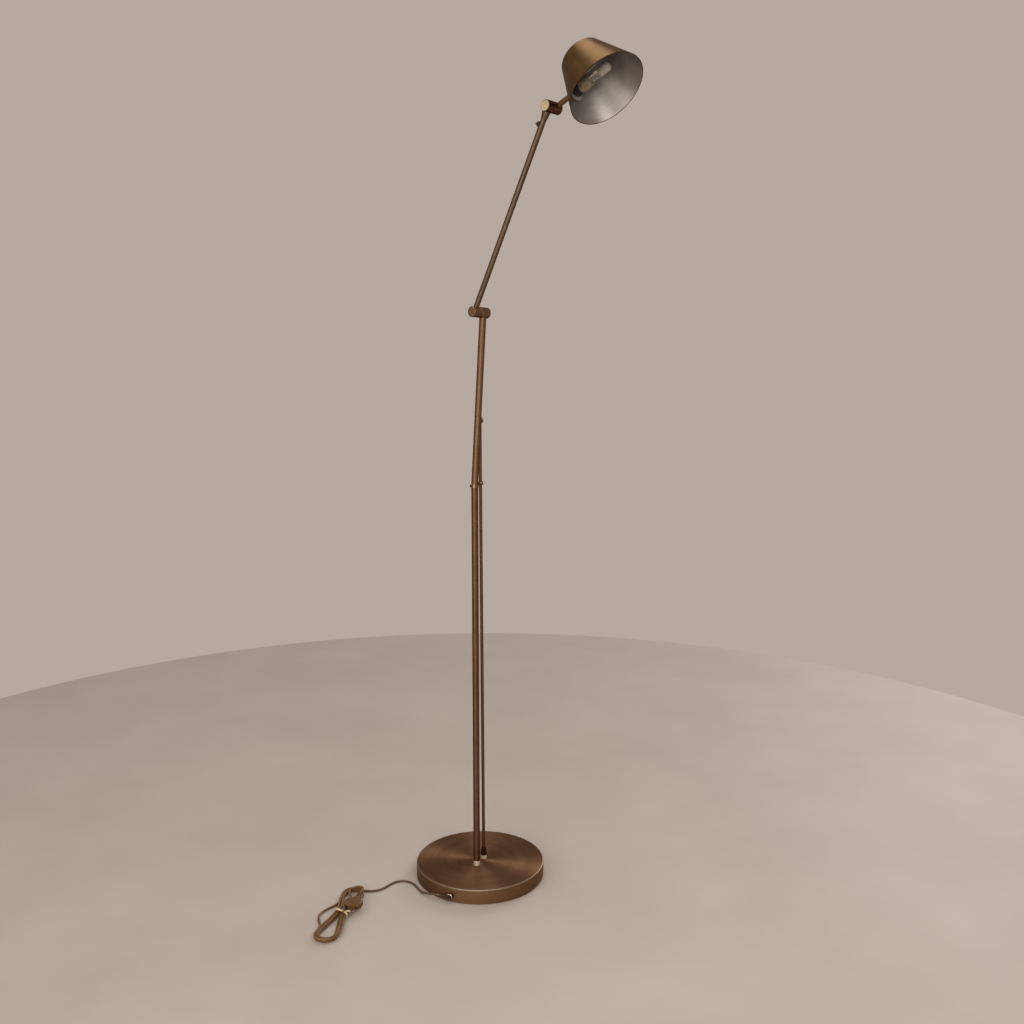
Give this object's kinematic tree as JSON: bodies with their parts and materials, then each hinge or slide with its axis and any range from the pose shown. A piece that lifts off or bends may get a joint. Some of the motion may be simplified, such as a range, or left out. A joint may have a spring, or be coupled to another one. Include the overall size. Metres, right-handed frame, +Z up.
{
  "type": "bridge floor lamp",
  "caption": "Floor lamp with a round brushed bronze base, slim mast and side rod, two friction knuckles, arm and cone shade, with its cord in a tied hank.",
  "frame": {"origin": "centre of the base's underside, on the floor", "axes": "+Z up, +X the way the arm reaches at rest, +Y towards the side rod"},
  "size_m": [0.4572, 0.5025, 1.5285],
  "materials": {
    "brushed_bronze": "brushed, bronze plated, clear lacquer",
    "satin_bronze": "satin bronze plating on tube",
    "bright_bronze": "polished light bronze",
    "dark_trim": "dark brown, satin",
    "weight_iron": "raw",
    "pad": "matt",
    "brass": "turned",
    "zinc": "zinc plated",
    "friction": "fibre washer",
    "shade_metal": "satin bronze outside, satin silver inside",
    "bright_steel": "polished",
    "black_moulding": "heat-proof moulding",
    "ceramic": "unglazed cream ceramic",
    "glass": "clear, frosted on the capsule",
    "cable": "white sheath",
    "cord": "brown flexible sheath",
    "plug": "brown moulding",
    "tie": "cream strip"
  },
  "bodies": {
    "base": {"base_cover": "brushed_bronze", "base_weight": "weight_iron", "base_pad": "pad", "mast_nipple": "brass", "mast_nut": "zinc", "mast_spacer": "zinc", "foot_collar": "bright_bronze", "lower_mast": "satin_bronze", "side_rod": "satin_bronze", "rod_nut": "bright_bronze", "rod_sleeve": "dark_trim", "rod_finial": "satin_bronze", "coupling_bracket": "satin_bronze", "bracket_screw": "dark_trim", "cable_base": "cable", "cable_lower_mast": "cable", "cord_gland": "plug", "cord_free": "cord", "cord_hank": "cord", "hank_tie": "tie", "plug_body": "plug", "plug_pins": "bright_steel"},
    "upper_section": {"coupling_spigot": "brass", "upper_mast": "satin_bronze", "knee_lower": "satin_bronze", "knee_nipple": "brass", "knee_nuts": "zinc", "knee_washer": "friction", "knee_cap_far": "satin_bronze", "cable_upper_mast": "cable"},
    "arm": {"knee_upper": "satin_bronze", "knee_cap_near": "satin_bronze", "upper_arm": "satin_bronze", "arm_neck": "satin_bronze", "switch_boss": "satin_bronze", "switch_body": "cable", "elbow_lower": "satin_bronze", "elbow_nipple": "brass", "elbow_nuts": "zinc", "elbow_washer": "friction", "elbow_cap_near": "bright_bronze", "cable_arm": "cable"},
    "switch": {"switch_lever": "satin_bronze"},
    "head": {"elbow_upper": "satin_bronze", "elbow_cap_far": "satin_bronze", "shade_stem": "satin_bronze", "stem_collar": "satin_bronze", "shade_washer": "bright_steel", "holder_base": "black_moulding", "holder_ceramic": "ceramic", "bulb_base": "glass", "bulb_capsule": "glass", "bulb_pins": "bright_steel", "cable_head": "cable"},
    "shade": {"shade": "shade_metal"}
  },
  "joints": [
    {"name": "mast_swivel", "type": "hinge", "parent": "base", "child": "upper_section", "pos_m": [0.0113, -0.0204, 0.779], "axis": [0, 0, 1], "range_deg": [-170, 170]},
    {"name": "knee_hinge", "type": "hinge", "parent": "upper_section", "child": "arm", "pos_m": [0.01349, -0.00836, 1.0929], "axis": [0, 0.9977, -0.068], "range_deg": [-50, 80]},
    {"name": "elbow_hinge", "type": "hinge", "parent": "arm", "child": "head", "pos_m": [0.17011, 0.01025, 1.42983], "axis": [0, 0.9977, -0.068], "range_deg": [-60, 75]},
    {"name": "shade_swivel", "type": "hinge", "parent": "head", "child": "shade", "pos_m": [0.20961, 0.01951, 1.44724], "axis": [0.91, 0.0282, 0.4137], "range_deg": [-80, 80]},
    {"name": "switch_toggle", "type": "hinge", "parent": "arm", "child": "switch", "pos_m": [0.14917, 0.00045, 1.40433], "axis": [0, 0.9977, -0.068], "range_deg": [0, 24]}
  ]
}
